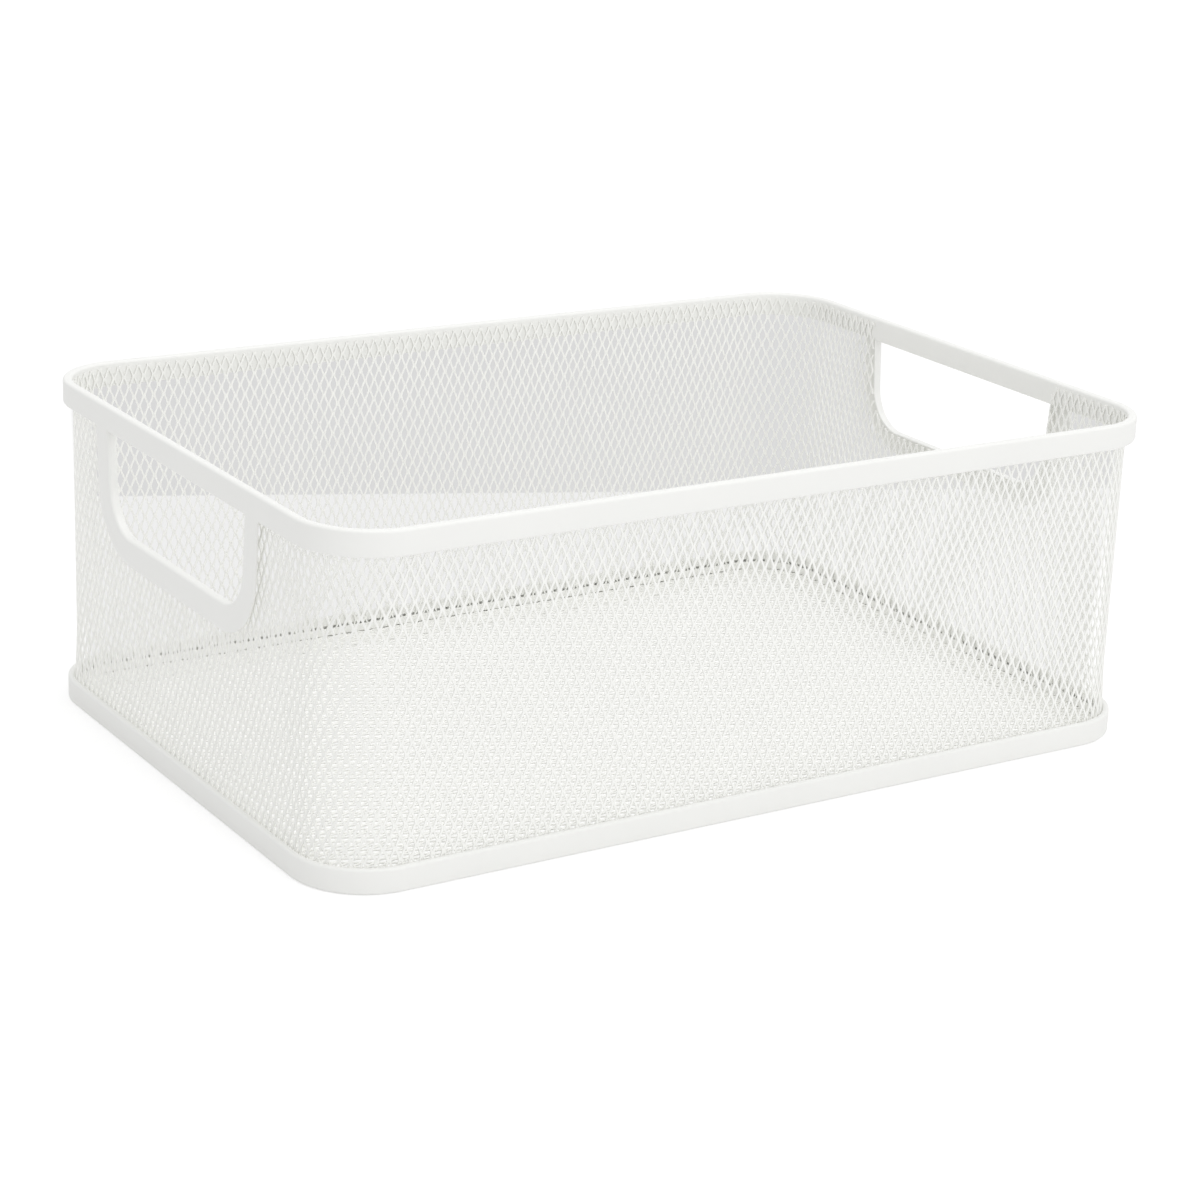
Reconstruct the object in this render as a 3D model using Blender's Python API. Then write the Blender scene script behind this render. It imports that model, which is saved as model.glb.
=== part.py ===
"""Storage basket of powder-coated sheet steel and expanded metal mesh.

Lengths are in metres. X runs along the basket, the front is towards -Y and Z is up. The origin is the
middle of the footprint. An inset is a distance inwards from the outline of the top rim's outer face.
"""

import math

import bmesh
import bpy
from mathutils import Vector

# Outline over the top rim
length = 0.340
width = 0.231
height = 0.1225
corner_radius = 0.027

# Folded strip of the rims and the handle frames
sheet = 0.0008
bend_radius = 0.0010
rim_height = 0.0091
rim_width = 0.0034  # from the outer face to the mesh, also at the base's ledge and the frames' hems
base_height = 0.0090
base_lip_height = 0.0030
base_flange_width = 0.0153

# Expanded metal of the walls and the floor
wall_top_drop = 0.0020
mesh_thickness = 0.0008
wall_cell_width = 0.022
wall_cell_height = 0.044
floor_cell_length = 0.062
floor_cell_width = 0.031
strand_share = 0.16
selvage = 0.0012
least_opening_share = 0.25

# Grip openings in the two ends
grip_top_half_width = 0.0545
grip_bottom_half_width = 0.0520
grip_depth = 0.0347
grip_corner_radius = 0.0165
frame_strip_width = 0.00975

# Fits
clearance = 0.0003
overrun = 0.002

# Facets
corner_steps = 8
bend_steps = 3

# Powder coat, linear colour values
coat_color = (0.86, 0.86, 0.83, 1.0)
mesh_color = (0.84, 0.84, 0.81, 1.0)
coat_roughness = 0.42
sharp_angle = math.radians(40)

# Places that follow from the sizes above
flat_half_length = length / 2 - corner_radius
flat_half_width = width / 2 - corner_radius
rim_bottom = height - rim_height
wall_inset = rim_width + clearance
wall_inner_inset = wall_inset + mesh_thickness
wall_bottom = sheet + clearance
wall_top = height - wall_top_drop
wall_middle = (wall_bottom + wall_top) / 2
wall_half_height = (wall_top - wall_bottom) / 2
floor_inset = wall_inner_inset + clearance


def clear_scene():
    for obj in list(bpy.data.objects):
        bpy.data.objects.remove(obj)


def coat_material(name, color):
    material = bpy.data.materials.new(name)
    material.use_nodes = True
    shader = material.node_tree.nodes["Principled BSDF"]
    shader.inputs["Base Color"].default_value = color
    shader.inputs["Roughness"].default_value = coat_roughness
    shader.inputs["Metallic"].default_value = 0
    return material


def add_object(name, bm, material=None):
    """Puts a bmesh in the scene as an object, with its faces turned outwards."""
    bmesh.ops.recalc_face_normals(bm, faces=bm.faces)
    mesh = bpy.data.meshes.new(name)
    bm.to_mesh(mesh)
    bm.free()
    mesh.shade_smooth()
    mesh.set_sharp_from_angle(angle=sharp_angle)
    obj = bpy.data.objects.new(name, mesh)
    bpy.context.scene.collection.objects.link(obj)
    if material:
        mesh.materials.append(material)
    return obj


def cut(obj, cutter):
    """Takes the cutter's shape out of the object."""
    cutter.hide_render = True
    cutter.display_type = "WIRE"
    modifier = obj.modifiers.new("openings", "BOOLEAN")
    modifier.operation = "DIFFERENCE"
    modifier.solver = "EXACT"
    modifier.object = cutter


def arc(centre, radius, start, end, steps):
    """Points of a circular arc in a plane, its two ends included."""
    turns = [start + (end - start) * i / steps for i in range(steps + 1)]
    return [(centre[0] + radius * math.cos(t), centre[1] + radius * math.sin(t)) for t in turns]


def folded_section(corners):
    """Closed section of a strip folded along the given outer corners, the metal on their left side.

    The outer corner of each fold is an arc of bend_radius, and the inner one stays sharp.
    """
    points = [Vector(corner) for corner in corners]
    runs = [(b - a).normalized() for a, b in zip(points, points[1:])]
    outer, inner = [tuple(points[0])], [tuple(points[0] + sheet * left_of(runs[0]))]
    for corner, before, after in zip(points[1:], runs, runs[1:]):
        towards_inside = left_of(before) + left_of(after)
        centre = corner + bend_radius * towards_inside
        start = math.atan2(-left_of(before).y, -left_of(before).x)
        turn = before.angle_signed(after)
        outer += arc(centre, bend_radius, start, start - turn, bend_steps)
        inner.append(tuple(corner + sheet * towards_inside))
    outer.append(tuple(points[-1]))
    inner.append(tuple(points[-1] + sheet * left_of(runs[-1])))
    return outer + inner[::-1]


def left_of(direction):
    return Vector((-direction.y, direction.x))


def rim_stations():
    """Centre and direction of each point that the corner arcs need, once round the basket."""
    centres = [
        (flat_half_length, flat_half_width),
        (-flat_half_length, flat_half_width),
        (-flat_half_length, -flat_half_width),
        (flat_half_length, -flat_half_width),
    ]
    stations = []
    for quarter, centre in enumerate(centres):
        for step in range(corner_steps + 1):
            turn = (quarter + step / corner_steps) * math.pi / 2
            stations.append((centre, (math.cos(turn), math.sin(turn))))
    return stations


def outline_point(station, inset):
    centre, direction = station
    radius = corner_radius - inset
    return centre[0] + radius * direction[0], centre[1] + radius * direction[1]


def bridge_rows(bm, rows, closed):
    """Joins equal rows of vertices with faces, each row being a closed section."""
    pairs = list(zip(rows, rows[1:]))
    if closed:
        pairs.append((rows[-1], rows[0]))
    else:
        bm.faces.new(rows[0])
        bm.faces.new(rows[-1])
    count = len(rows[0])
    for first, second in pairs:
        for i in range(count):
            j = (i + 1) % count
            bm.faces.new((first[i], first[j], second[j], second[i]))


def make_rim(name, section, material):
    """A folded strip carried once round the basket. The section is given as (inset, z)."""
    bm = bmesh.new()
    rows = []
    for station in rim_stations():
        row = []
        for inset, z in section:
            x, y = outline_point(station, inset)
            row.append(bm.verts.new((x, y, z)))
        rows.append(row)
    bridge_rows(bm, rows, closed=True)
    return add_object(name, bm, material)


def make_top_rim(material):
    """A flat tube: inner leaf that carries the mesh, flat top, outer band, and a return below them.

    A slit between the return and the inner leaf keeps the tube open.
    """
    return_width = rim_width - sheet - clearance
    corners = [
        (rim_width, rim_bottom),
        (rim_width, height),
        (0, height),
        (0, rim_bottom),
        (return_width, rim_bottom),
    ]
    return make_rim("top_rim", folded_section(corners), material)


def make_base_rim(material):
    """Lip against the mesh, narrow ledge on top, outer band, and a wide flange under the floor.

    The cavity between the lip and the flange stays open towards the mesh.
    """
    corners = [
        (rim_width, base_height - base_lip_height),
        (rim_width, base_height),
        (0, base_height),
        (0, 0),
        (base_flange_width, 0),
    ]
    return make_rim("base_rim", folded_section(corners), material)


def clipped(outline, boundary):
    """The part of a convex outline that lies inside a convex boundary. Both run counter-clockwise."""
    points = [Vector(point) for point in outline]
    corners = [Vector(corner) for corner in boundary]
    for a, b in zip(corners, corners[1:] + corners[:1]):
        inwards = left_of(b - a)
        kept = []
        for p, q in zip(points, points[1:] + points[:1]):
            p_depth, q_depth = (p - a).dot(inwards), (q - a).dot(inwards)
            if p_depth >= 0:
                kept.append(p)
            if p_depth * q_depth < 0:
                kept.append(p.lerp(q, p_depth / (p_depth - q_depth)))
        points = kept
    return points


def area(outline):
    """Area inside a counter-clockwise outline."""
    pairs = zip(outline, outline[1:] + outline[:1])
    return sum(ax * by - bx * ay for (ax, ay), (bx, by) in pairs) / 2


def net_openings(half_u, half_v, cell_u, cell_v, boundary):
    """Diamond openings in staggered rows on a panel centred at zero, clipped to its boundary.

    The cells are stretched so that a whole number of them spans the panel, and the rows that have
    a diamond centred on its ends are the same on every panel, so the net runs on past a bend.
    """
    columns = max(1, round(2 * half_u / cell_u))
    step_u = half_u / columns
    step_v = cell_v / 2
    rows = math.ceil(half_v / step_v)
    tip_u = step_u * (1 - strand_share)
    tip_v = step_v * (1 - strand_share)
    least_area = least_opening_share * area([(tip_u, 0), (0, tip_v), (-tip_u, 0), (0, -tip_v)])
    openings = []
    for k in range(-rows, rows + 1):
        for i in range(-columns, columns + 1):
            if (i + columns + k) % 2:
                continue
            u, v = i * step_u, k * step_v
            diamond = [(u + tip_u, v), (u, v + tip_v), (u - tip_u, v), (u, v - tip_v)]
            opening = clipped(diamond, boundary)
            if len(opening) > 2 and area(opening) >= least_area:
                openings.append(opening)
    return openings


def rectangle(half_u, half_v):
    return [(half_u, half_v), (-half_u, half_v), (-half_u, -half_v), (half_u, -half_v)]


def add_prism(bm, outline, place, depths):
    """A prism between two depths in the sheet. place turns (u, v, depth) into a point."""
    ends = [[bm.verts.new(place(u, v, depth)) for u, v in outline] for depth in depths]
    bridge_rows(bm, ends, closed=False)


def cut_outlines(net, outlines, place, cutter_name):
    bm = bmesh.new()
    for outline in outlines:
        add_prism(bm, outline, place, (-overrun, mesh_thickness + overrun))
    cut(net, add_object(cutter_name, bm))


def wall_openings(half_u):
    """The openings of a wall panel of the wall mesh's height."""
    boundary = rectangle(half_u - selvage, wall_half_height - selvage)
    return net_openings(half_u, wall_half_height, wall_cell_width, wall_cell_height, boundary)


def make_flat_wall(name, half_u, place, material):
    """A flat panel of the wall mesh with its net of openings."""
    bm = bmesh.new()
    add_prism(bm, rectangle(half_u, wall_half_height), place, (0, mesh_thickness))
    net = add_object(name, bm, material)
    cut_outlines(net, wall_openings(half_u), place, name + "_cutter")
    return net


def make_long_wall(name, side, material):
    """The flat mesh of the front (side -1) or the back (side 1)."""

    def place(u, v, depth):
        return u, side * (width / 2 - wall_inset - depth), wall_middle + v

    make_flat_wall(name, flat_half_length - clearance, place, material)


def grip_edge(offset):
    """The edge of the grip opening from its upper left to its upper right end, moved outwards by offset.

    Points are (y, z). The sides lean in towards the bottom, and the lower corners are arcs.
    """
    grip_bottom = rim_bottom - grip_depth
    frame_top = rim_bottom - clearance
    lean = (grip_top_half_width - grip_bottom_half_width) / grip_depth
    lean_angle = math.atan(lean)
    # The arc's centre lies one radius from the bottom edge and one radius from the leaning side.
    centre_z = grip_bottom + grip_corner_radius
    side_y = grip_bottom_half_width + lean * grip_corner_radius
    centre = (side_y - grip_corner_radius / math.cos(lean_angle), centre_z)
    right = arc(centre, grip_corner_radius + offset, -math.pi / 2, -lean_angle, corner_steps)
    # The side runs on up to the rim with the same lean.
    last_y, last_z = right[-1]
    right.append((last_y + lean * (frame_top - last_z), frame_top))
    left = [(-y, z) for y, z in right]
    return left[::-1] + right


def make_end_wall(name, side, material):
    """The flat mesh of the left (side -1) or the right end (side 1), cut away to its top round the grip."""

    def place(u, v, depth):
        return side * (length / 2 - wall_inset - depth), u, wall_middle + v

    net = make_flat_wall(name, flat_half_width - clearance, place, material)
    edge = [(y, z - wall_middle) for y, z in grip_edge(sheet + clearance)]
    above = wall_half_height + overrun
    grip = [(edge[0][0], above)] + edge + [(edge[-1][0], above)]
    cut_outlines(net, [grip], place, name + "_grip_cutter")


def make_corner_wall(name, side_x, side_y, material):
    """The mesh bent round one corner, a quarter turn long."""
    outer_radius = corner_radius - wall_inset
    middle_radius = outer_radius - mesh_thickness / 2
    half_u = middle_radius * math.pi / 4

    def place(u, v, depth):
        turn = math.pi / 4 + u / middle_radius
        radius = outer_radius - depth
        x = side_x * (flat_half_length + radius * math.cos(turn))
        y = side_y * (flat_half_width + radius * math.sin(turn))
        return x, y, wall_middle + v

    bm = bmesh.new()
    rows = []
    for step in range(corner_steps + 1):
        u = half_u * (2 * step / corner_steps - 1)
        section = [
            (wall_half_height, 0),
            (wall_half_height, mesh_thickness),
            (-wall_half_height, mesh_thickness),
            (-wall_half_height, 0),
        ]
        rows.append([bm.verts.new(place(u, v, depth)) for v, depth in section])
    bridge_rows(bm, rows, closed=False)
    net = add_object(name, bm, material)
    cut_outlines(net, wall_openings(half_u), place, name + "_cutter")


def make_floor(material):
    """The floor mesh, flat on the base flange and inside the wall mesh, its diamonds long in X."""
    underside = sheet + clearance

    def place(u, v, depth):
        return u, v, underside + depth

    bm = bmesh.new()
    outline = [outline_point(station, floor_inset) for station in rim_stations()]
    add_prism(bm, outline, place, (0, mesh_thickness))
    net = add_object("floor_mesh", bm, material)
    boundary = [outline_point(station, floor_inset + selvage) for station in rim_stations()]
    half_u = length / 2 - floor_inset
    half_v = width / 2 - floor_inset
    openings = net_openings(half_u, half_v, floor_cell_length, floor_cell_width, boundary)
    cut_outlines(net, openings, place, "floor_mesh_cutter")


def make_handle_frame(name, side, material):
    """A flat strip round the grip opening, flush with the rim's face, its inner edge turned in to the mesh."""
    section = folded_section([(0, rim_width), (0, 0), (frame_strip_width, 0)])
    bm = bmesh.new()
    edges = [grip_edge(offset) for offset, depth in section]
    rows = []
    for station in range(len(edges[0])):
        row = []
        for edge, (offset, depth) in zip(edges, section):
            y, z = edge[station]
            row.append(bm.verts.new((side * (length / 2 - depth), y, z)))
        rows.append(row)
    bridge_rows(bm, rows, closed=False)
    return add_object(name, bm, material)


def main():
    clear_scene()
    coat = coat_material("powder_coat", coat_color)
    mesh_coat = coat_material("mesh_powder_coat", mesh_color)
    make_top_rim(coat)
    make_base_rim(coat)
    make_long_wall("front_wall_mesh", -1, mesh_coat)
    make_long_wall("back_wall_mesh", 1, mesh_coat)
    for side_name, side in (("left", -1), ("right", 1)):
        make_end_wall(side_name + "_end_mesh", side, mesh_coat)
        make_handle_frame(side_name + "_handle_frame", side, coat)
        make_corner_wall("front_" + side_name + "_corner_mesh", side, -1, mesh_coat)
        make_corner_wall("back_" + side_name + "_corner_mesh", side, 1, mesh_coat)
    make_floor(mesh_coat)


main()
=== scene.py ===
import math

import bpy
import numpy as np
from mathutils import Matrix, Vector


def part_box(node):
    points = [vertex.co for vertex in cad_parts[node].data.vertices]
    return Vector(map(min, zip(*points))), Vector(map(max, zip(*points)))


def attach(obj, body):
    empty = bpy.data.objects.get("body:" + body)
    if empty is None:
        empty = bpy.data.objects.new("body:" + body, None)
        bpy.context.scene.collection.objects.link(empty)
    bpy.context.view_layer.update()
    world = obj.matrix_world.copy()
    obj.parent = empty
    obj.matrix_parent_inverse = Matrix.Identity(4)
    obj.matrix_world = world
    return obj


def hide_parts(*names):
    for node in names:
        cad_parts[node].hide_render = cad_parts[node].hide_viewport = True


# Storage basket of powder-coated expanded metal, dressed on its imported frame.
# Metres throughout. X runs along the basket, the front faces -Y, Z is up.

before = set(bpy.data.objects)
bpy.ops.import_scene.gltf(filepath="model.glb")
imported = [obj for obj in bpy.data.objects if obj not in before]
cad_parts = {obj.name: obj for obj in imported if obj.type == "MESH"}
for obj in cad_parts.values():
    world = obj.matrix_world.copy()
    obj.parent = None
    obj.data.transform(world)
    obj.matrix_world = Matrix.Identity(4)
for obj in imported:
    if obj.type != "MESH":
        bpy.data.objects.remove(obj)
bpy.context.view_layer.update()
mm = 0.001

basket = {
    "cornerRadius": 27.0 * mm,  # of the top rim's outer face, seen from above
    "sheet": 0.8 * mm,  # strip of the rims and the grip frames
    "coatEdge": 0.4 * mm,  # radius that the coat leaves on a cut edge
    "sharpAngle": math.radians(50),  # edges sharper than this aren't shaded smooth
    "samePoint": 0.0001 * mm,  # points of a section closer than this are one
}

# The outline is a rounded rectangle, as large as the top rim's box.
rimLow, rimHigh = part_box("top_rim")
halfLength = (rimHigh.x - rimLow.x) / 2
halfWidth = (rimHigh.y - rimLow.y) / 2
topZ = rimHigh.z
flatHalfLength = halfLength - basket["cornerRadius"]
flatHalfWidth = halfWidth - basket["cornerRadius"]


# Mesh helpers

def addPiece(name, points, faceSets, material, nodes):
    # Puts arrays of points and faces into a mesh object that rides on the frame.
    #
    # faceSets is a list of index arrays, one per face size. A closed shell encloses a positive volume
    # when the sum over its faces of corner times (next corner cross third corner) is positive, so a
    # negative sum turns every face round.
    points = np.asarray(points, np.float64)
    faceSets = [np.asarray(s, np.int64) for s in faceSets if len(s)]
    volume = 0.0
    for s in faceSets:
        for k in range(1, s.shape[1] - 1):
            a, b, c = points[s[:, 0]], points[s[:, k]], points[s[:, k + 1]]
            volume += float(np.einsum("ij,ij->", a, np.cross(b, c)))
    if volume < 0:
        faceSets = [s[:, ::-1] for s in faceSets]
    loops = np.concatenate([s.reshape(-1) for s in faceSets]).astype(np.int32)
    sizes = np.concatenate([np.full(len(s), s.shape[1]) for s in faceSets])
    starts = np.concatenate([[0], np.cumsum(sizes)[:-1]]).astype(np.int32)
    mesh = bpy.data.meshes.new(name)
    mesh.vertices.add(len(points))
    mesh.vertices.foreach_set("co", points.astype(np.float32).reshape(-1))
    mesh.loops.add(len(loops))
    mesh.loops.foreach_set("vertex_index", loops)
    mesh.polygons.add(len(starts))
    mesh.polygons.foreach_set("loop_start", starts)
    mesh.update(calc_edges=True)
    mesh.validate()
    mesh.shade_smooth()
    mesh.set_sharp_from_angle(angle=basket["sharpAngle"])
    mesh.materials.append(material)
    piece = bpy.data.objects.new(name, mesh)
    bpy.context.scene.collection.objects.link(piece)
    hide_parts(*nodes)
    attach(piece, "root")
    return piece


def gridFaces(rows, columns, closedRows):
    # Quads between neighbours of a grid whose columns wrap round, and whose rows wrap if closedRows.
    last = rows if closedRows else rows - 1
    i, j = np.meshgrid(np.arange(last), np.arange(columns), indexing="ij")
    a = i * columns + j
    b = i * columns + (j + 1) % columns
    c = ((i + 1) % rows) * columns + (j + 1) % columns
    d = ((i + 1) % rows) * columns + j
    return np.stack([a, b, c, d], axis=-1).reshape(-1, 4)


def arcPoints(centre, radius, start, end, steps):
    # Points on a circle from one angle to another, ends included.
    turn = np.linspace(start, end, steps + 1)
    return np.stack([centre[0] + radius * np.cos(turn), centre[1] + radius * np.sin(turn)], axis=-1)


def foldedSection(corners, bendRadius, sheet, edgeRadius, bendSteps=8, edgeSteps=4):
    # Closed section of a strip folded along outer corners, with its metal on their left.
    #
    # Each fold is an arc of bendRadius outside and of bendRadius less the sheet inside, about one centre.
    # Both cut edges are rounded by two arcs of edgeRadius.
    corners = [np.array(c, float) for c in corners]
    runs = [(b - a) / np.linalg.norm(b - a) for a, b in zip(corners, corners[1:])]
    left = [np.array([-r[1], r[0]]) for r in runs]
    outer, inner = [], []
    for corner, before, after, leftBefore, leftAfter in zip(corners[1:-1], runs, runs[1:], left, left[1:]):
        centre = corner + bendRadius * (leftBefore + leftAfter)
        start = math.atan2(-leftBefore[1], -leftBefore[0])
        turn = math.atan2(before[0] * after[1] - before[1] * after[0], float(before @ after))
        outer.append(arcPoints(centre, bendRadius, start, start + turn, bendSteps))
        inner.append(arcPoints(centre, bendRadius - sheet, start, start + turn, bendSteps))

    def edge(point, along, side):
        # Two quarter arcs across the sheet's thickness, from the outer face to the inner one.
        first = point - edgeRadius * along + edgeRadius * side
        second = point - edgeRadius * along + (sheet - edgeRadius) * side
        out = math.atan2(-side[1], -side[0])
        sense = math.copysign(1, along[0] * side[1] - along[1] * side[0])
        quarter = sense * math.pi / 2
        return np.concatenate([
            arcPoints(first, edgeRadius, out, out + quarter, edgeSteps),
            arcPoints(second, edgeRadius, out + quarter, out + 2 * quarter, edgeSteps),
        ])

    endEdge = edge(corners[-1], runs[-1], left[-1])
    startEdge = edge(corners[0], -runs[0], left[0])[::-1]
    section = np.concatenate(outer + [endEdge] + inner[::-1] + [startEdge])
    keep = np.linalg.norm(section - np.roll(section, 1, axis=0), axis=1) > basket["samePoint"]
    return section[keep]


def outlineStations(cornerSteps, straightSteps):
    # Centres and outward directions once round a rounded rectangle, counter-clockwise from above.
    #
    # A point at an inset lies at centre + (corner radius - inset) * direction.
    signs = [(1, 1), (-1, 1), (-1, -1), (1, -1)]
    centres = np.array([(sx * flatHalfLength, sy * flatHalfWidth) for sx, sy in signs])
    allCentres, allTurns = [], []
    for quarter in range(4):
        turn = (quarter + np.linspace(0, 1, cornerSteps + 1)) * math.pi / 2
        allTurns.append(turn)
        allCentres.append(np.repeat(centres[quarter:quarter + 1], len(turn), axis=0))
        share = np.linspace(0, 1, straightSteps + 1)[1:-1, None]
        allCentres.append(centres[quarter] * (1 - share) + centres[(quarter + 1) % 4] * share)
        allTurns.append(np.full(len(share), turn[-1]))
    centre = np.concatenate(allCentres)
    turn = np.concatenate(allTurns)
    return centre, np.stack([np.cos(turn), np.sin(turn)], axis=-1)


# Powder coat materials

coat = {
    "ior": 1.5,
    "cloudDetail": 3.0,
    "peelDetail": 2.0,
    "noiseLow": 0.3,  # the noise is spread from here
    "noiseHigh": 0.7,  # to here
}


def coatMaterial(name, look):
    # Powder coat: one pale colour with a faint cloudiness, and a fine orange peel in roughness and bump.
    material = bpy.data.materials.new(name)
    material.use_nodes = True
    nodes, links = material.node_tree.nodes, material.node_tree.links
    shader = nodes["Principled BSDF"]
    shader.inputs["Metallic"].default_value = 0.0
    shader.inputs["IOR"].default_value = coat["ior"]
    coords = nodes.new("ShaderNodeTexCoord")

    def noise(perMetre, detail):
        node = nodes.new("ShaderNodeTexNoise")
        node.inputs["Scale"].default_value = perMetre
        node.inputs["Detail"].default_value = detail
        links.new(coords.outputs["Object"], node.inputs["Vector"])
        return node

    def ramp(source, low, high, target):
        node = nodes.new("ShaderNodeMapRange")
        node.inputs["From Min"].default_value = coat["noiseLow"]
        node.inputs["From Max"].default_value = coat["noiseHigh"]
        node.inputs["To Min"].default_value = low
        node.inputs["To Max"].default_value = high
        links.new(source, node.inputs["Value"])
        links.new(node.outputs["Result"], target)

    cloud = noise(look["cloudsPerMetre"], coat["cloudDetail"])
    mix = nodes.new("ShaderNodeMix")
    mix.data_type = "RGBA"
    mix.inputs["A"].default_value = (*look["color"], 1.0)
    mix.inputs["B"].default_value = (*[c * look["cloudShade"] for c in look["color"]], 1.0)
    ramp(cloud.outputs["Fac"], 0.0, 1.0, mix.inputs["Factor"])
    links.new(mix.outputs["Result"], shader.inputs["Base Color"])
    peel = noise(look["peelPerMetre"], coat["peelDetail"])
    ramp(peel.outputs["Fac"], look["roughnessLow"], look["roughnessHigh"], shader.inputs["Roughness"])
    bump = nodes.new("ShaderNodeBump")
    bump.inputs["Strength"].default_value = look["peelStrength"]
    bump.inputs["Distance"].default_value = look["peelHeight"]
    links.new(peel.outputs["Fac"], bump.inputs["Height"])
    links.new(bump.outputs["Normal"], shader.inputs["Normal"])
    return material


stripLook = {
    "color": (0.890, 0.891, 0.870),
    "cloudShade": 0.985,  # the clouds' tone, as a share of the colour
    "cloudsPerMetre": 35.0,
    "peelPerMetre": 900.0,
    "peelStrength": 0.35,
    "peelHeight": 0.05 * mm,
    "roughnessLow": 0.34,
    "roughnessHigh": 0.43,
}
meshLook = {
    "color": (0.932, 0.933, 0.909),  # paler than on the strips, to make up for the strands' own shade
    "cloudShade": 0.98,
    "cloudsPerMetre": 60.0,
    "peelPerMetre": 1400.0,
    "peelStrength": 0.3,
    "peelHeight": 0.04 * mm,
    "roughnessLow": 0.38,
    "roughnessHigh": 0.47,
}
stripCoat = coatMaterial("white powder coat on strip", stripLook)
meshCoat = coatMaterial("white powder coat on mesh", meshLook)
print("materials ready")


# Top rim and base rim

topRim = {
    "height": 9.1 * mm,
    "width": 3.4 * mm,
    "returnGap": 0.3 * mm,
    "bendRadius": 1.0 * mm,
    "faceInset": 0.03 * mm,  # lets the grip frames' ends melt into the band
}
baseRim = {
    "height": 9.0 * mm,
    "ledgeWidth": 2.4 * mm,
    "lipHeight": 3.9 * mm,  # turned down against the mesh, deeper than the solid's: less of the cavity shows
    "flangeWidth": 15.3 * mm,
    "bendRadius": 1.0 * mm,
}


def sweepRound(name, section, material, nodes):
    # The section, as (inset, z), carried once round the outline.
    centre, outward = outlineStations(cornerSteps=28, straightSteps=24)
    reach = basket["cornerRadius"] - section[:, 0]
    xy = centre[:, None, :] + reach[None, :, None] * outward[:, None, :]
    z = np.broadcast_to(section[:, 1], xy.shape[:2])
    points = np.concatenate([xy, z[..., None]], axis=-1).reshape(-1, 3)
    faces = gridFaces(len(centre), len(section), closedRows=True)
    return addPiece(name, points, [faces], material, nodes)


def makeTopRim():
    r = topRim
    bottom = topZ - r["height"]
    corners = [
        (r["width"], bottom),
        (r["width"], topZ),
        (r["faceInset"], topZ),
        (r["faceInset"], bottom),
        (r["width"] - basket["sheet"] - r["returnGap"], bottom),
    ]
    section = foldedSection(corners, r["bendRadius"], basket["sheet"], basket["coatEdge"])
    return sweepRound("top_rim_coated", section, stripCoat, ["top_rim"])


def makeBaseRim():
    r = baseRim
    corners = [
        (r["ledgeWidth"], r["height"] - r["lipHeight"]),
        (r["ledgeWidth"], r["height"]),
        (0.0, r["height"]),
        (0.0, 0.0),
        (r["flangeWidth"], 0.0),
    ]
    section = foldedSection(corners, r["bendRadius"], basket["sheet"], basket["coatEdge"])
    return sweepRound("base_rim_coated", section, stripCoat, ["base_rim"])


makeTopRim()
makeBaseRim()
print("rims ready")


# Grip frames

grip = {
    "topHalfWidth": 54.5 * mm,
    "bottomHalfWidth": 52.0 * mm,
    "depth": 34.7 * mm,
    "cornerRadius": 16.5 * mm,
    "hemDepth": 3.4 * mm,
    "bendRadius": 1.0 * mm,
    "stripWidth": 9.75 * mm,
    "overBand": 1.9 * mm,  # how far the legs run up into the band, where their ends sink away
    "thinning": 0.75,  # share of its depth that a leg loses there
    "sunk": 0.06 * mm,  # how deep its end lies below the band's face
}
rimBottom = topZ - topRim["height"]
gripBottom = rimBottom - grip["depth"]
gripLean = (grip["topHalfWidth"] - grip["bottomHalfWidth"]) / grip["depth"]
gripLeanAngle = math.atan(gripLean)
gripCentreZ = gripBottom + grip["cornerRadius"]
gripCentreY = (
    grip["bottomHalfWidth"] + gripLean * grip["cornerRadius"] - grip["cornerRadius"] / math.cos(gripLeanAngle)
)


def gripPath(cornerSteps, legSteps, baseSteps):
    # Points and outward directions along the grip's edge, from its upper left to its upper right end.
    #
    # The base is straight, each lower corner is an arc, and each leg leans outwards up to the band.
    turn = np.linspace(-math.pi / 2, -gripLeanAngle, cornerSteps + 1)
    direction = np.stack([np.cos(turn), np.sin(turn)], axis=-1)
    centre = np.array([gripCentreY, gripCentreZ])
    corner = centre + grip["cornerRadius"] * direction
    rise = rimBottom + grip["overBand"] - corner[-1, 1]
    step = np.linspace(0, 1, legSteps + 1)[1:, None] * rise
    leg = corner[-1] + step * np.array([gripLean, 1.0])
    legDirection = np.repeat(direction[-1:], legSteps, axis=0)
    right = np.concatenate([corner, leg])
    rightDirection = np.concatenate([direction, legDirection])
    mirror = np.array([-1.0, 1.0])
    share = np.linspace(-1, 1, baseSteps + 1)[1:-1, None]
    base = np.concatenate([share * corner[0, 0], np.full_like(share, gripBottom)], axis=1)
    baseDirection = np.repeat(direction[:1], len(base), axis=0)
    path = np.concatenate([right[::-1] * mirror, base, right])
    outward = np.concatenate([rightDirection[::-1] * mirror, baseDirection, rightDirection])
    return path, outward


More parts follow.
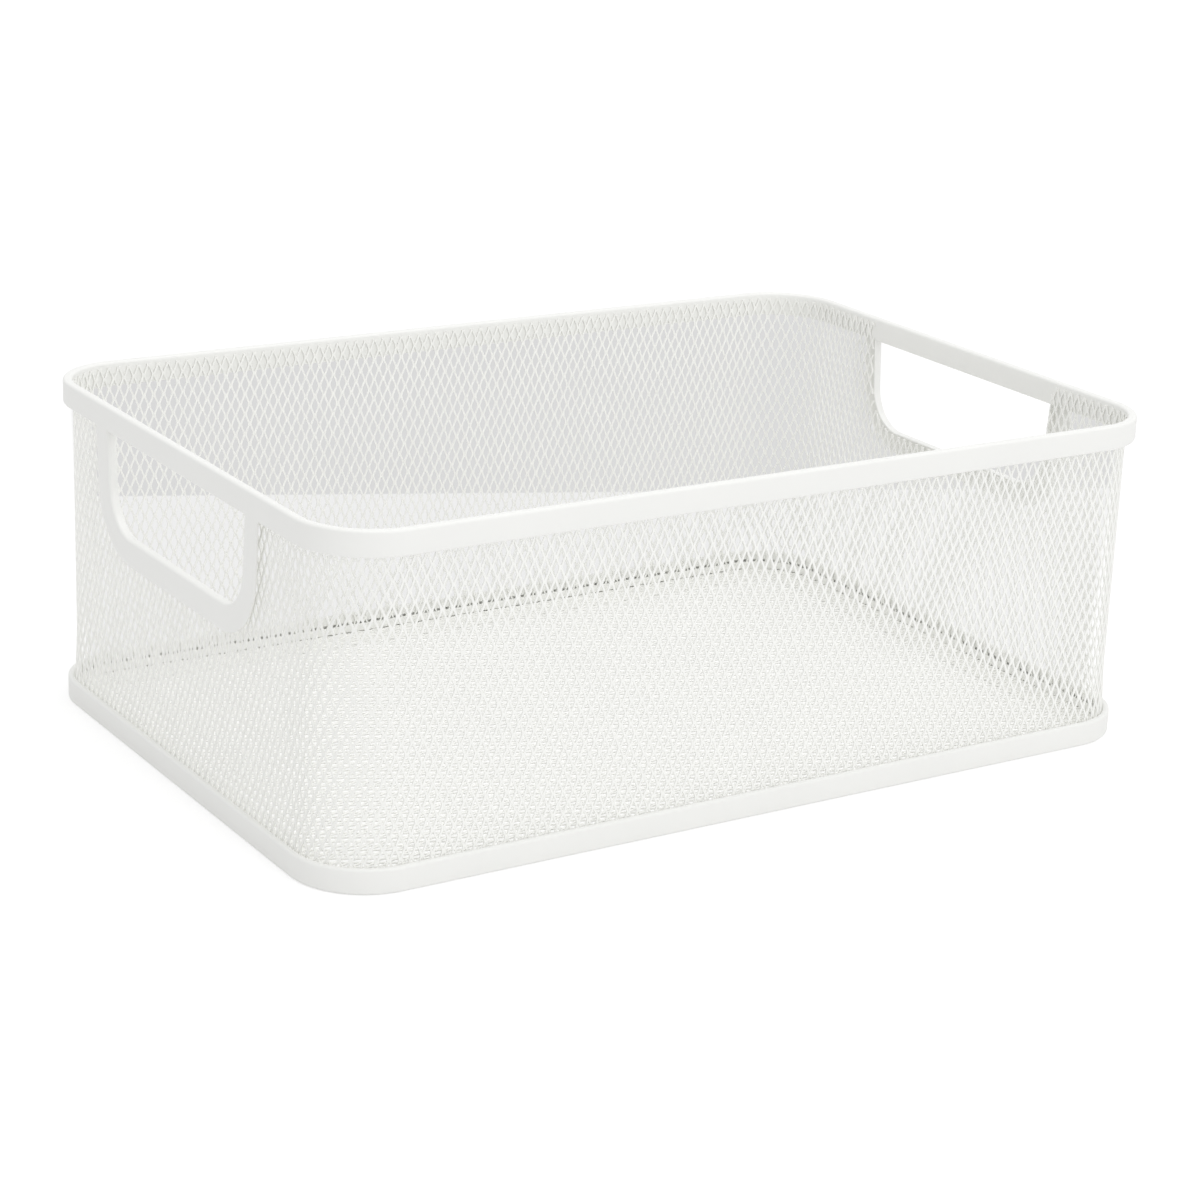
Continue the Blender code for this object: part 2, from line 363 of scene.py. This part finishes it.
def makeGripFrame(name, side, node):
    # A strip laid round the grip's edge, flush with the band, its inner edge turned into the basket.
    #
    # The section, as (distance from the edge, depth), is carried along the path. Above the band's lower
    # edge the depths shrink, so that the ends lie in the band's own metal.
    section = foldedSection(
        [(0.0, grip["hemDepth"]), (0.0, 0.0), (grip["stripWidth"], 0.0)],
        grip["bendRadius"], basket["sheet"], basket["coatEdge"],
    )
    path, outward = gripPath(cornerSteps=24, legSteps=30, baseSteps=24)
    yz = path[:, None, :] + section[None, :, 0:1] * outward[:, None, :]
    above = np.clip((yz[..., 1] - rimBottom) / grip["overBand"], 0, 1)
    above = above * above * (3 - 2 * above)
    depth = section[None, :, 1] * (1 - grip["thinning"] * above) + grip["sunk"] * above
    x = side * (halfLength - depth)
    points = np.concatenate([x[..., None], yz], axis=-1)
    rows, columns = points.shape[:2]
    ends = [np.arange(columns)[None, ::-1], ((rows - 1) * columns + np.arange(columns))[None]]
    faces = gridFaces(rows, columns, closedRows=False)
    return addPiece(name, points.reshape(-1, 3), [faces] + ends, stripCoat, [node])


makeGripFrame("left_grip_frame_coated", -1, "left_handle_frame")
makeGripFrame("right_grip_frame_coated", 1, "right_handle_frame")
print("grip frames ready")


# Expanded metal

expanded = {
    "pitchAcross": 3.95 * mm,  # between diamonds, the short way
    "pitchAlong": 7.85 * mm,  # between diamonds, the long way
    "strandWidth": 0.78 * mm,  # this and the thickness include the coat
    "strandThickness": 0.54 * mm,
    "flatShare": 0.42,  # half of the strand's flat face, as a share of its width
    "tilt": math.radians(4),  # of a strand's face to the sheet
    "joinOverlap": 0.25,  # share of a strand's width that two strands share where they join
    "joinShare": 0.15,  # where a join gives way to the slope, as a share of half a period
    "joinValue": 0.86,  # height of the wave there, 1 in the middle of the join
    "joinWidening": 1.10,  # the coat fills the corners of the diamonds beside a join
}


def strandStations(low, high, centre):
    # Places along the strands, and the wave there: 1 and -1 on the joins, a straight slope between them.
    #
    # Each half period has four places: the middle of the join, its end, the middle of the slope, and the
    # start of the next join.
    half = expanded["pitchAlong"] / 2
    share, value, wide = (expanded[k] for k in ("joinShare", "joinValue", "joinWidening"))
    first = math.floor((low - centre) / half) - 1
    last = math.ceil((high - centre) / half) + 1
    k = np.arange(first, last + 1)
    sign = np.where(k % 2 == 0, 1.0, -1.0)
    offsets = np.array([0, share, 0.5, 1 - share]) * half
    values = np.array([1.0, value, 0.0, -value])
    widening = np.array([wide, wide, 1.0, wide])
    places = (centre + k[:, None] * half + offsets).reshape(-1)
    wave = (sign[:, None] * values).reshape(-1)
    return places, wave, np.tile(widening, len(k))


def strandNet(places, wave, widening, strandAcross, strandSign, pitchAcross, domain, place):
    # Zigzag strands side by side, joined where they meet.
    #
    # A strand's middle line lies at its own place across plus the wave, and swings in depth the other way,
    # so that two strands lie edge to edge in one tilted plane where they join. Its section is a flat
    # hexagon. domain gives how far inside the net a point (across, along) lies, and a strand is cut where
    # that crosses zero. place turns (across, along, depth) into a point in space.
    width, thick, tilt = expanded["strandWidth"], expanded["strandThickness"], expanded["tilt"]
    reach = (1 - expanded["joinOverlap"]) * width / 2
    swing = pitchAcross / 4 - reach * math.cos(tilt)
    sink = reach * math.sin(tilt)
    flat = expanded["flatShare"]
    shape = np.array([(-0.5, 0), (-flat, 0.5), (flat, 0.5), (0.5, 0), (flat, -0.5), (-flat, -0.5)])
    a, b = shape[:, 0] * width, shape[:, 1] * thick

    def ring(strand, along, waveHere, wide):
        across = strandAcross[strand] + strandSign[strand] * waveHere * swing
        depth = -strandSign[strand] * waveHere * sink
        sideways = a[None] * wide[:, None] * math.cos(tilt) - b[None] * math.sin(tilt)
        outwards = a[None] * wide[:, None] * math.sin(tilt) + b[None] * math.cos(tilt)
        alongAll = np.broadcast_to(along[:, None], sideways.shape)
        return place(across[:, None] + sideways, alongAll, depth[:, None] + outwards)

    count, steps = len(strandAcross), len(places)
    strand, station = np.meshgrid(np.arange(count), np.arange(steps), indexing="ij")
    across = strandAcross[strand] + strandSign[strand] * wave[station] * swing
    inside = domain(across, places[station])
    kept = inside > 0
    number = np.cumsum(kept.reshape(-1)).reshape(kept.shape) - 1
    whole = kept[:, :-1] & kept[:, 1:]
    crossing = kept[:, :-1] ^ kept[:, 1:]
    # Rings at the kept stations, and one more where a strand leaves or enters the net.
    s0, k0 = np.nonzero(kept)
    rings = ring(s0, places[k0], wave[k0], widening[k0])
    s1, k1 = np.nonzero(crossing)
    t = inside[s1, k1] / (inside[s1, k1] - inside[s1, k1 + 1])
    endAlong = places[k1] + t * (places[k1 + 1] - places[k1])
    endWave = wave[k1] + t * (wave[k1 + 1] - wave[k1])
    endRings = ring(s1, endAlong, endWave, (widening[k1] + widening[k1 + 1]) / 2)
    first = np.where(kept[s1, k1], number[s1, k1], len(s0) + np.arange(len(s1)))
    second = np.where(kept[s1, k1], len(s0) + np.arange(len(s1)), number[s1, k1 + 1])
    s2, k2 = np.nonzero(whole)
    starts = np.concatenate([number[s2, k2], first])
    stops = np.concatenate([number[s2, k2 + 1], second])
    m = len(shape)
    j = np.arange(m)
    n = (j + 1) % m
    quads = np.stack([
        starts[:, None] * m + j, starts[:, None] * m + n, stops[:, None] * m + n, stops[:, None] * m + j,
    ], axis=-1).reshape(-1, 4)
    leaving = kept[s1, k1]
    endIndex = (len(s0) + np.arange(len(s1)))[:, None] * m + j
    caps = np.concatenate([endIndex[leaving], endIndex[~leaving][:, ::-1]])
    points = np.concatenate([rings, endRings]).reshape(-1, 3)
    used = np.zeros(len(points), bool)
    used[quads.reshape(-1)] = True
    used[caps.reshape(-1)] = True
    order = np.cumsum(used) - 1
    return points[used], order[quads], order[caps]


wall = {
    "inset": 3.75 * mm,  # of its middle from the rim's face
    "flare": 1.1 * mm,  # the foot swings out this far, over the flare's height
    "flareHeight": 30.0 * mm,
    "bottom": 1.4 * mm,
    "top": 120.6 * mm,
    "uncutTop": 4.4 * mm,  # the sheet is left whole up to here
    "uncutEdge": 0.15 * mm,  # radius of its edges
    "joinHeight": 10.4 * mm,  # height of the middle of one row of diamonds
    "gripClear": 0.9 * mm,  # from the grip's edge to the cut strands: the hem and a hair
}
wallRadius = basket["cornerRadius"] - wall["inset"]
runX, runY, runCorner = 2 * flatHalfLength, 2 * flatHalfWidth, wallRadius * math.pi / 2
# The band starts in the middle of the back and runs counter-clockwise, seen from above.
runs = np.array([runX / 2, runCorner, runY, runCorner, runX, runCorner, runY, runCorner, runX / 2])
marks = np.concatenate([[0], np.cumsum(runs)])
perimeter = marks[-1]
strandCount = 2 * round(perimeter / expanded["pitchAcross"])
wallPitch = 2 * perimeter / strandCount


def footFlare(along):
    # How far the band swings out at a height: a smooth step down to the foot.
    foot = np.clip(1 - along / wall["flareHeight"], 0, 1)
    return wall["flare"] * foot * foot * (3 - 2 * foot)


def onWall(across, along, depth):
    # A place on the band: straight runs joined by quarter circles, depth outwards, its foot flared.
    depth = depth + footFlare(along)
    across = np.mod(across, perimeter)
    section = np.clip(np.searchsorted(marks, across, side="right") - 1, 0, len(runs) - 1)
    part = across - marks[section]
    # Where each run starts, the direction it runs in, and whether it turns.
    startX = np.array([0, -1, -1, -1, -1, 1, 1, 1, 1]) * flatHalfLength
    startY = np.array([1, 1, 1, -1, -1, -1, -1, 1, 1]) * flatHalfWidth
    startTurn = np.array([1, 1, 2, 2, 3, 3, 4, 4, 5]) * math.pi / 2
    bends = np.array([0, 1, 0, 1, 0, 1, 0, 1, 0])
    turn = startTurn[section] + bends[section] * part / wallRadius
    forward = (1 - bends[section]) * part
    radius = wallRadius + depth
    x = startX[section] + radius * np.cos(turn) - forward * np.sin(turn)
    y = startY[section] + radius * np.sin(turn) + forward * np.cos(turn)
    return np.stack([x, y, along], axis=-1)


def gripDistance(y, z):
    # How far a point of an end wall lies outside the grip's edge, less than zero inside it.
    #
    # The opening is a core with square corners grown by the corner radius, and open at the top.
    y = np.abs(y)
    dy, dz = y - gripCentreY, z - gripCentreZ
    side = (dy - gripLean * dz) * math.cos(gripLeanAngle)
    up = dy * math.sin(gripLeanAngle) + dz * math.cos(gripLeanAngle)
    fromCorner = np.hypot(dy, dz)
    distance = np.where(dy <= 0, -dz, np.where(up < 0, fromCorner, side))
    distance = np.where((dy <= 0) & (dz >= 0), side, distance)
    return distance - grip["cornerRadius"]


def wallDomain(across, along):
    # Distance inside the band's cut edges, top and bottom and round both grips.
    across = np.mod(across, perimeter)
    inside = np.minimum(along - wall["bottom"], wall["top"] - along)
    for start in (marks[2], marks[6]):
        fromMiddle = across - (start + runY / 2)
        near = np.abs(fromMiddle) < runY / 2
        fromGrip = gripDistance(fromMiddle, along) - wall["gripClear"]
        inside = np.where(near, np.minimum(inside, fromGrip), inside)
    return inside


wallPieces = [
    # name, the run it starts and ends on, and the node it stands for
    ("back_left_mesh_half", marks[0], marks[1], "back_wall_mesh"),
    ("back_left_mesh_corner", marks[1], marks[2], "back_left_corner_mesh"),
    ("left_mesh_end", marks[2], marks[3], "left_end_mesh"),
    ("front_left_mesh_corner", marks[3], marks[4], "front_left_corner_mesh"),
    ("front_left_mesh_half", marks[4], (marks[4] + marks[5]) / 2, "front_wall_mesh"),
    ("front_right_mesh_half", (marks[4] + marks[5]) / 2, marks[5], "front_wall_mesh"),
    ("front_right_mesh_corner", marks[5], marks[6], "front_right_corner_mesh"),
    ("right_mesh_end", marks[6], marks[7], "right_end_mesh"),
    ("back_right_mesh_corner", marks[7], marks[8], "back_right_corner_mesh"),
    ("back_right_mesh_half", marks[8], marks[9], "back_wall_mesh"),
]


def makeWalls():
    number = np.arange(strandCount)
    across = (number + 0.5) * wallPitch / 2
    sign = np.where(number % 2 == 0, 1.0, -1.0)
    places, wave, widening = strandStations(wall["bottom"], wall["top"], wall["joinHeight"])
    for name, start, end, node in wallPieces:
        mine = (across >= start) & (across < end)
        points, quads, caps = strandNet(
            places, wave, widening, across[mine], sign[mine], wallPitch, wallDomain, onWall
        )
        addPiece(name, points, [quads, caps], meshCoat, [node])


def makeUncutEdge():
    # The band's foot, which the mesh's slits don't reach: as thick as the strands, which run down into it.
    thick = expanded["strandThickness"]
    innerFace = wall["inset"] + thick / 2
    ends = [(innerFace - footFlare(z), z) for z in (wall["bottom"], wall["uncutTop"])]
    section = foldedSection(ends, 0.0, thick, wall["uncutEdge"])
    nodes = sorted({node for name, start, end, node in wallPieces})
    sweepRound("wall_mesh_uncut_edge", section, meshCoat, nodes)


floorNet = {
    "inset": 1.6 * mm,
    "bottom": 0.82 * mm,
    "thickness": 0.56 * mm,
    "joinPlace": 0.0 * mm,  # place along X of the middle of one row of diamonds
}


def onFloor(across, along, depth):
    # Across is Y, along is X and depth is up from the middle of the sheet.
    z = floorNet["bottom"] + floorNet["thickness"] / 2 + depth
    return np.stack([along, across, z], axis=-1)


def floorDomain(across, along):
    # Distance inside the floor's rounded outline.
    radius = basket["cornerRadius"] - floorNet["inset"]
    dx, dy = np.abs(along) - flatHalfLength, np.abs(across) - flatHalfWidth
    corner = np.hypot(np.maximum(dx, 0), np.maximum(dy, 0))
    return radius - np.where((dx > 0) | (dy > 0), corner, np.maximum(dx, dy))


def makeFloorNet():
    half = halfWidth - floorNet["inset"]
    rows = int(half / (expanded["pitchAcross"] / 2))
    number = np.arange(-rows, rows)
    across = (number + 0.5) * expanded["pitchAcross"] / 2
    sign = np.where(number % 2 == 0, 1.0, -1.0)
    reach = halfLength - floorNet["inset"]
    places, wave, widening = strandStations(-reach, reach, floorNet["joinPlace"])
    third = rows * 2 // 3
    cuts = [0, third, 2 * third, 2 * rows]
    for name, low, high in zip(("floor_mesh_front", "floor_mesh_middle", "floor_mesh_back"), cuts, cuts[1:]):
        points, quads, caps = strandNet(
            places, wave, widening, across[low:high], sign[low:high], expanded["pitchAcross"],
            floorDomain, onFloor,
        )
        addPiece(name, points, [quads, caps], meshCoat, ["floor_mesh"])


makeWalls()
makeUncutEdge()
print("wall mesh ready")
makeFloorNet()
print("floor mesh ready")


# Stage, light and camera

lens = {
    "azimuth": -32.8885,  # degrees, as the next two
    "elevation": 18.5588,
    "roll": 2.2712,
    "distance": 1.120,
    "shiftRight": 0.00167,
    "shiftUp": -0.01727,
    "focal": 90.81,  # millimetres, as the sensor
    "sensor": 36.0,
    "clipStart": 0.05,
    "clipEnd": 50.0,
}


def cameraAxes():
    # Eye, right, up and back. The camera looks at the basket's middle from its azimuth and elevation, is
    # rolled, and is then moved in its own plane.
    azimuth, elevation, roll = (math.radians(lens[k]) for k in ("azimuth", "elevation", "roll"))
    back = Vector((
        math.sin(azimuth) * math.cos(elevation),
        -math.cos(azimuth) * math.cos(elevation),
        math.sin(elevation),
    ))
    right = Vector((math.cos(azimuth), math.sin(azimuth), 0))
    up = back.cross(right)
    rolledRight = math.cos(roll) * right + math.sin(roll) * up
    rolledUp = -math.sin(roll) * right + math.cos(roll) * up
    middle = Vector((0, 0, topZ / 2))
    eye = middle + lens["distance"] * back + lens["shiftRight"] * rolledRight + lens["shiftUp"] * rolledUp
    return eye, rolledRight, rolledUp, back


studio = {
    "floorHalf": 8.0,  # half of its side
    "floorColor": 0.90,  # as other surfaces see it
    "seenGlow": 0.60,  # as the camera sees it: part glows, and part keeps the shadows
    "farGlow": 0.80,  # the glow rises to this where the lamps' light runs out
    "glowStart": 0.5,
    "glowEnd": 1.4,
    "seenColor": 0.46,
    "nearShade": 0.19,  # painted shade: what the pale patch right behind the basket takes from the white
    "farShade": 0.34,  # and the painted shade of the grey one beyond it
    "borderAngle": math.radians(66.7),  # of the line between the two, as the direction across it
    "borderDistance": 0.278,  # from the basket's middle
    "borderFade": 6 * mm,
    "leftInset": 13 * mm,  # the outline's corners are round, so a line past its square corners is moved in
    "rightInset": 20 * mm,
    "sideFade": 6 * mm,
    "rimFade": 36 * mm,  # hidden behind the rim's band
    "backdrop": 1.0,  # strength of the white behind it all
    "worldStrength": 0.77,
    "diffuseBounces": 10,  # white metal lights its own hollows
    "lampTarget": (0, 0, 0.05),
}
lamps = {
    "top_softbox": {"place": (0.1, -0.1, 2.0), "size": 1.4, "power": 10.5},
    "front_softbox": {"place": (0.30, -1.70, 0.75), "size": 1.0, "power": 4.8},
}


def seenOnFloor(x, y, z):
    # The floor point that the camera sees behind a point: on the line from the eye through it, at z = 0.
    eye = cameraAxes()[0]
    return eye + (Vector((x, y, z)) - eye) * (eye.z / (eye.z - z))


def shadePatchEdges():
    # The edges of each soft patch of painted shade on the floor, as (start, end, inset, width of its
    # fade), inside on their left.
    #
    # A patch of painted shade lies behind the basket in the main picture and fades out before it leaves
    # its outline. It is painted on the stage alone: no piece of the basket depends on it.
    left, right, front, back = -halfLength, halfLength, -halfWidth, halfWidth
    fade, rim = studio["sideFade"], studio["rimFade"]
    leftEdge = (seenOnFloor(left, back, topZ), Vector((left, back, 0)), studio["leftInset"], fade)
    frontEdge = (Vector((right, front, 0)), seenOnFloor(right, front, topZ), studio["rightInset"], fade)
    backEdge = (seenOnFloor(right, back, topZ), seenOnFloor(left, back, topZ), 0.0, rim)
    rightEdge = (seenOnFloor(right, front, topZ), seenOnFloor(right, back, topZ), 0.0, rim)
    around = [leftEdge, backEdge, rightEdge, frontEdge]
    across = Vector((math.cos(studio["borderAngle"]), math.sin(studio["borderAngle"]), 0))
    border = across * studio["borderDistance"]
    farSide = (border, border + Vector((across.y, -across.x, 0)), 0.0, studio["borderFade"])
    behindBack = (Vector((left, back, 0)), Vector((right, back, 0)), 0.0, fade)
    besideRight = (Vector((right, back, 0)), Vector((right, front, 0)), 0.0, fade)
    # The grip's opening, where the painted shade is left out, and half of the frame's strip round it, which
    # hides the fade.
    grown = grip["stripWidth"] / 2
    half, low, high = grip["topHalfWidth"] + grown, gripBottom - grown, rimBottom + grown
    hole = [seenOnFloor(right, y, z) for y, z in ((-half, low), (-half, high), (half, high), (half, low))]
    overBand = (seenOnFloor(left, front, rimBottom), seenOnFloor(right, front, rimBottom), 0.0, fade)
    return {
        "far": around + [farSide],
        "behind": around + [behindBack],
        "beside": around + [besideRight],
        "hole": [(a, b, 0.0, fade) for a, b in zip(hole, hole[1:] + hole[:1])] + [overBand],
    }


def makeStage():
    # A white floor that keeps the basket's shadow, with painted shade in soft patches behind the basket,
    # against which white strands show. The right grip opening has white behind it.
    h = studio["floorHalf"]
    mesh = bpy.data.meshes.new("studio_floor")
    mesh.from_pydata([(-h, -h, 0), (h, -h, 0), (h, h, 0), (-h, h, 0)], [], [(0, 1, 2, 3)])
    floor = bpy.data.objects.new("studio_floor", mesh)
    bpy.context.scene.collection.objects.link(floor)
    material = bpy.data.materials.new("pale studio floor with painted shade")
    material.use_nodes = True
    nodes, links = material.node_tree.nodes, material.node_tree.links
    nodes.remove(nodes["Principled BSDF"])
    coords = nodes.new("ShaderNodeTexCoord")

    def maths(operation, *given):
        made = nodes.new("ShaderNodeMath")
        made.operation = operation
        for socket, value in zip(made.inputs, given):
            if isinstance(value, float):
                socket.default_value = value
            else:
                links.new(value, socket)
        return made.outputs["Value"]

    def edgeShare(start, end, inset, fade):
        # 0 outside an edge and 1 inside it, past its fade: the distance is the place's dot product with
        # the edge's left-hand normal, less the start's own.
        along = (end - start).normalized()
        normal = Vector((-along.y, along.x, 0))
        dot = nodes.new("ShaderNodeVectorMath")
        dot.operation = "DOT_PRODUCT"
        dot.inputs[1].default_value = normal
        links.new(coords.outputs["Object"], dot.inputs[0])
        step = nodes.new("ShaderNodeMapRange")
        step.interpolation_type = "SMOOTHSTEP"
        step.inputs["From Min"].default_value = normal.dot(start) + inset
        step.inputs["From Max"].default_value = normal.dot(start) + inset + fade
        links.new(dot.outputs["Value"], step.inputs["Value"])
        return step.outputs["Result"]

    def patch(edges):
        share = edgeShare(*edges[0])
        for edge in edges[1:]:
            share = maths("MULTIPLY", share, edgeShare(*edge))
        return share

    def diffuse(value):
        made = nodes.new("ShaderNodeBsdfDiffuse")
        made.inputs["Color"].default_value = (value, value, value, 1)
        return made

    # Painted shade: the patches darken the floor's tone behind the basket, where the white strands show
    # against it.
    patches = {name: patch(edges) for name, edges in shadePatchEdges().items()}
    near = maths("MULTIPLY", maths("MAXIMUM", patches["behind"], patches["beside"]), studio["nearShade"])
    far = maths("MULTIPLY", patches["far"], studio["farShade"])
    shade = maths("MULTIPLY", maths("MAXIMUM", near, far), maths("SUBTRACT", 1.0, patches["hole"]))
    tone = maths("SUBTRACT", 1.0, shade)
    glow = nodes.new("ShaderNodeEmission")
    glow.inputs["Color"].default_value = (1, 1, 1, 1)
    distance = nodes.new("ShaderNodeVectorMath")
    distance.operation = "LENGTH"
    links.new(coords.outputs["Object"], distance.inputs[0])
    rise = nodes.new("ShaderNodeMapRange")
    rise.interpolation_type = "SMOOTHSTEP"
    rise.inputs["From Min"].default_value = studio["glowStart"]
    rise.inputs["From Max"].default_value = studio["glowEnd"]
    rise.inputs["To Min"].default_value = studio["seenGlow"]
    rise.inputs["To Max"].default_value = studio["farGlow"]
    links.new(distance.outputs["Value"], rise.inputs["Value"])
    links.new(maths("MULTIPLY", tone, rise.outputs["Result"]), glow.inputs["Strength"])
    matt = diffuse(0.0)
    links.new(maths("MULTIPLY", tone, studio["seenColor"]), matt.inputs["Color"])
    seen = nodes.new("ShaderNodeAddShader")
    links.new(glow.outputs[0], seen.inputs[0])
    links.new(matt.outputs[0], seen.inputs[1])
    path = nodes.new("ShaderNodeLightPath")
    both = nodes.new("ShaderNodeMixShader")
    links.new(path.outputs["Is Camera Ray"], both.inputs["Fac"])
    links.new(diffuse(studio["floorColor"]).outputs[0], both.inputs[1])
    links.new(seen.outputs[0], both.inputs[2])
    links.new(both.outputs[0], nodes["Material Output"].inputs["Surface"])
    floor.data.materials.append(material)


def makeWorld():
    # The white backdrop as the camera, gloss and glass see it, and an even light for everything else.
    world = bpy.data.worlds.new("studio")
    bpy.context.scene.world = world
    world.use_nodes = True
    nodes, links = world.node_tree.nodes, world.node_tree.links
    background = nodes["Background"]
    background.inputs["Color"].default_value = (1, 1, 1, 1)
    path = nodes.new("ShaderNodeLightPath")
    seen = nodes.new("ShaderNodeMath")
    seen.operation = "MAXIMUM"
    links.new(path.outputs["Is Camera Ray"], seen.inputs[0])
    links.new(path.outputs["Is Transmission Ray"], seen.inputs[1])
    seenToo = nodes.new("ShaderNodeMath")
    seenToo.operation = "MAXIMUM"
    links.new(seen.outputs[0], seenToo.inputs[0])
    links.new(path.outputs["Is Glossy Ray"], seenToo.inputs[1])
    strength = nodes.new("ShaderNodeMapRange")
    strength.inputs["To Min"].default_value = studio["worldStrength"]
    strength.inputs["To Max"].default_value = studio["backdrop"]
    links.new(seenToo.outputs[0], strength.inputs["Value"])
    links.new(strength.outputs["Result"], background.inputs["Strength"])


def addSoftbox(name, lamp):
    # A square lamp, turned towards the basket.
    data = bpy.data.lights.new(name, "AREA")
    data.shape = "SQUARE"
    data.size = lamp["size"]
    data.energy = lamp["power"]
    light = bpy.data.objects.new(name, data)
    bpy.context.scene.collection.objects.link(light)
    light.location = lamp["place"]
    aim = Vector(studio["lampTarget"]) - Vector(lamp["place"])
    light.rotation_euler = aim.to_track_quat("-Z", "Y").to_euler()


def makeCamera():
    eye, right, up, back = cameraAxes()
    data = bpy.data.cameras.new("camera")
    data.lens = lens["focal"]
    data.sensor_width = lens["sensor"]
    data.clip_start = lens["clipStart"]
    data.clip_end = lens["clipEnd"]
    camera = bpy.data.objects.new("camera", data)
    bpy.context.scene.collection.objects.link(camera)
    camera.matrix_world = Matrix((
        (right.x, up.x, back.x, eye.x),
        (right.y, up.y, back.y, eye.y),
        (right.z, up.z, back.z, eye.z),
        (0, 0, 0, 1),
    ))
    bpy.context.scene.camera = camera


makeStage()
makeWorld()
for lampName, lamp in lamps.items():
    addSoftbox(lampName, lamp)
makeCamera()
bpy.context.scene.view_settings.view_transform = "Standard"
bpy.context.scene.cycles.diffuse_bounces = studio["diffuseBounces"]
print("stage, light and camera ready")
